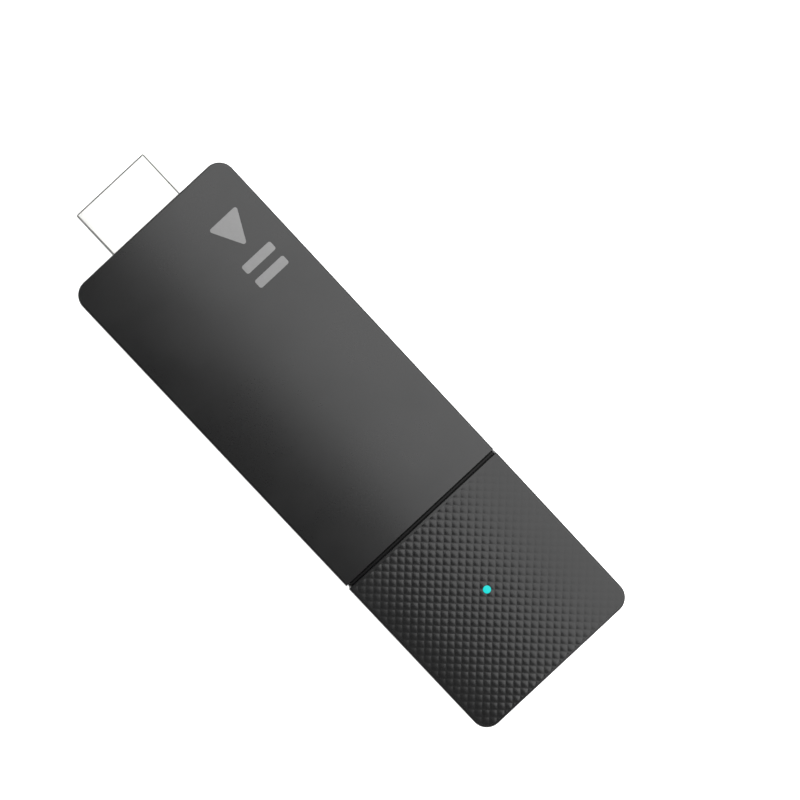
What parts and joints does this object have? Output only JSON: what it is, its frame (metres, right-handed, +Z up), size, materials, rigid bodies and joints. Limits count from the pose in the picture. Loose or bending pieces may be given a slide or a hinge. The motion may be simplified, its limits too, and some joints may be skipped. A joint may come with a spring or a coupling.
{
  "type": "streaming media player",
  "caption": "Slim stick-shaped media player: flat case with a smooth front, a pyramid-textured rear cap, a status light, a video plug at one end and a power inlet at the other.",
  "frame": {"origin": "centre of the bottom of the whole object's box, plug included, on the surface that the stick lies on", "axes": "+Y along the case towards the video plug's tip, +X to the right of the case seen from above with the plug pointing away, +Z up out of the top face"},
  "size_m": [0.0306, 0.1, 0.0132],
  "materials": {
    "case_plastic": "smooth satin black moulding with a very fine grain",
    "cap_plastic": "satin black moulding, pyramid texture on the top",
    "collar_plastic": "plain black moulding",
    "label_film": "dull printed film, left blank",
    "plug_nickel": "bright nickel-plated steel sheet",
    "insulator_black": "black moulded insulator",
    "contact_gold": "gold-plated contact strip",
    "inlet_steel": "tin-plated steel sheet",
    "board_laminate": "solder mask on glass laminate",
    "screw_steel": "zinc-plated steel",
    "chip_black": "moulded chip package",
    "shield_tin": "tin-plated sheet",
    "ferrite": "grey ferrite block",
    "capacitor_ceramic": "tan ceramic chip",
    "thermal_rubber": "soft grey-blue thermal pad",
    "spreader_aluminium": "stamped aluminium sheet",
    "antenna_copper": "copper on amber film",
    "lead_jacket": "black coaxial jacket",
    "led_body": "white package under clear resin",
    "status_light": "clear light pipe lit cyan from below",
    "plunger_plastic": "ivory switch plunger",
    "button_plastic": "satin black button",
    "mark_ink": "light grey pad-printed ink"
  },
  "bodies": {
    "case": {"top_cover": "case_plastic", "bottom_cover": "case_plastic", "neck_ring": "collar_plastic", "end_cap": "cap_plastic", "rating_label": "label_film", "plug_shell": "plug_nickel", "plug_insulator": "insulator_black", "plug_contacts": "contact_gold", "inlet_shell": "inlet_steel", "inlet_insulator": "insulator_black", "inlet_contacts": "contact_gold", "circuit_board": "board_laminate", "board_screws": "screw_steel", "processor": "chip_black", "memory_chips": "chip_black", "flash_chip": "chip_black", "radio_module": "shield_tin", "power_chips": "chip_black", "power_inductors": "ferrite", "crystals": "shield_tin", "capacitors": "capacitor_ceramic", "signal_chips": "chip_black", "shield_frame": "shield_tin", "shield_lid": "shield_tin", "lower_shield": "shield_tin", "thermal_pads": "thermal_rubber", "heat_spreader": "spreader_aluminium", "antennas": "antenna_copper", "antenna_leads": "lead_jacket", "antenna_plugs": "contact_gold", "status_led": "led_body", "light_pipe": "status_light", "reset_switch": "chip_black"},
    "button": {"switch_plunger": "plunger_plastic", "reset_button": "button_plastic"}
  },
  "joints": [
    {"name": "reset_press", "type": "slide", "parent": "case", "child": "button", "axis": [-1, 0, 0], "range_m": [0, 0.00035], "stiffness_N_per_m": 1500, "springref_m": -0.0007}
  ]
}
